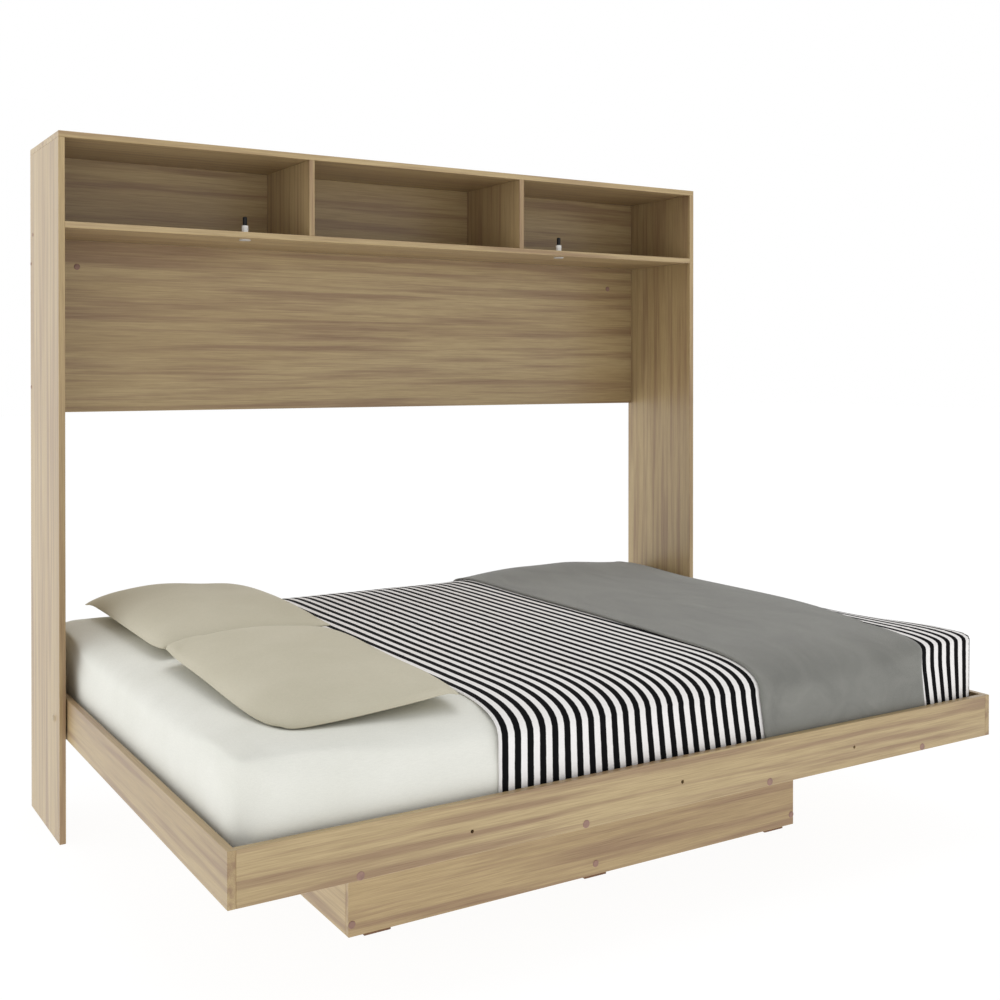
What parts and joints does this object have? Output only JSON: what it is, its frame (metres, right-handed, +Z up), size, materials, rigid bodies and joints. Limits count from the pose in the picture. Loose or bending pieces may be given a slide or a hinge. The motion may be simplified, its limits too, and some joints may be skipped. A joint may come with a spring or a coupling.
{
  "type": "wall bed",
  "caption": "Sideways wall bed: an open oak-look cabinet with niches over a pivoting bed frame on a plinth, with push latches, mattress, striped spread, throw and pillows.",
  "frame": {"origin": "On the floor, in the middle of the object's bounding box with the bed folded down.", "axes": "+X runs along the wall to the right as seen from the room, the room is at -Y, the wall is at +Y, +Z is up."},
  "size_m": [1.975, 1.4506, 1.7125],
  "materials": {
    "oak_board": "light oak woodgrain laminate on 15 mm board, satin, with edging of the same decor",
    "beech_dowel": "plain beech",
    "cap_plastic": "pinkish brown push-in screw cap, matt",
    "glide_plastic": "brown plastic, matt",
    "zinc_steel": "zinc plated steel",
    "grey_nylon": "dark grey nylon",
    "white_plastic": "white moulded plastic",
    "black_plastic": "black moulded plastic",
    "mattress_cotton": "off-white fitted cotton cover, smooth",
    "striped_cotton": "woven cotton with even black and white stripes across the bed",
    "grey_fleece": "mid grey fleece with a soft nap",
    "pillow_cotton": "beige cotton pillowcase"
  },
  "bodies": {
    "cabinet": {"top_panel": "oak_board", "shelf_panel": "oak_board", "back_panel": "oak_board", "left_side_panel": "oak_board", "left_divider": "oak_board", "left_side_caps": "cap_plastic", "left_pivot_bolt": "zinc_steel", "left_pivot_spacer": "grey_nylon", "left_pivot_nut": "zinc_steel", "left_latch_sleeve": "white_plastic", "left_latch_plate": "zinc_steel", "right_side_panel": "oak_board", "right_divider": "oak_board", "right_side_caps": "cap_plastic", "right_pivot_bolt": "zinc_steel", "right_pivot_spacer": "grey_nylon", "right_pivot_nut": "zinc_steel", "right_latch_sleeve": "white_plastic", "right_latch_plate": "zinc_steel"},
    "bed": {"front_rail": "oak_board", "rear_rail": "oak_board", "base_dowels": "beech_dowel", "corner_brackets": "zinc_steel", "front_rail_caps": "cap_plastic", "rear_rail_caps": "cap_plastic", "plinth_front_panel": "oak_board", "plinth_glides": "glide_plastic", "plinth_caps": "cap_plastic", "plinth_left_web": "oak_board", "plinth_middle_web": "oak_board", "plinth_right_web": "oak_board", "mattress": "mattress_cotton", "bedspread": "striped_cotton", "throw": "grey_fleece", "front_pillow": "pillow_cotton", "rear_pillow": "pillow_cotton", "left_end_rail": "oak_board", "left_base_panel": "oak_board", "left_pivot_bush": "grey_nylon", "right_end_rail": "oak_board", "right_base_panel": "oak_board", "right_pivot_bush": "grey_nylon"},
    "left_latch": {"left_latch_knob": "black_plastic", "left_latch_pin": "zinc_steel"},
    "right_latch": {"right_latch_knob": "black_plastic", "right_latch_pin": "zinc_steel"}
  },
  "joints": [
    {"name": "bed_fold", "type": "hinge", "parent": "cabinet", "child": "bed", "pos_m": [0, 0.45875, 0.292], "axis": [-1, 0, 0], "range_deg": [0, 90], "deforming": ["front_pillow", "rear_pillow"]},
    {"name": "left_latch_push", "type": "slide", "parent": "cabinet", "child": "left_latch", "axis": [0, 0, -1], "range_m": [0, 0.018]},
    {"name": "right_latch_push", "type": "slide", "parent": "cabinet", "child": "right_latch", "axis": [0, 0, -1], "range_m": [0, 0.018]}
  ]
}
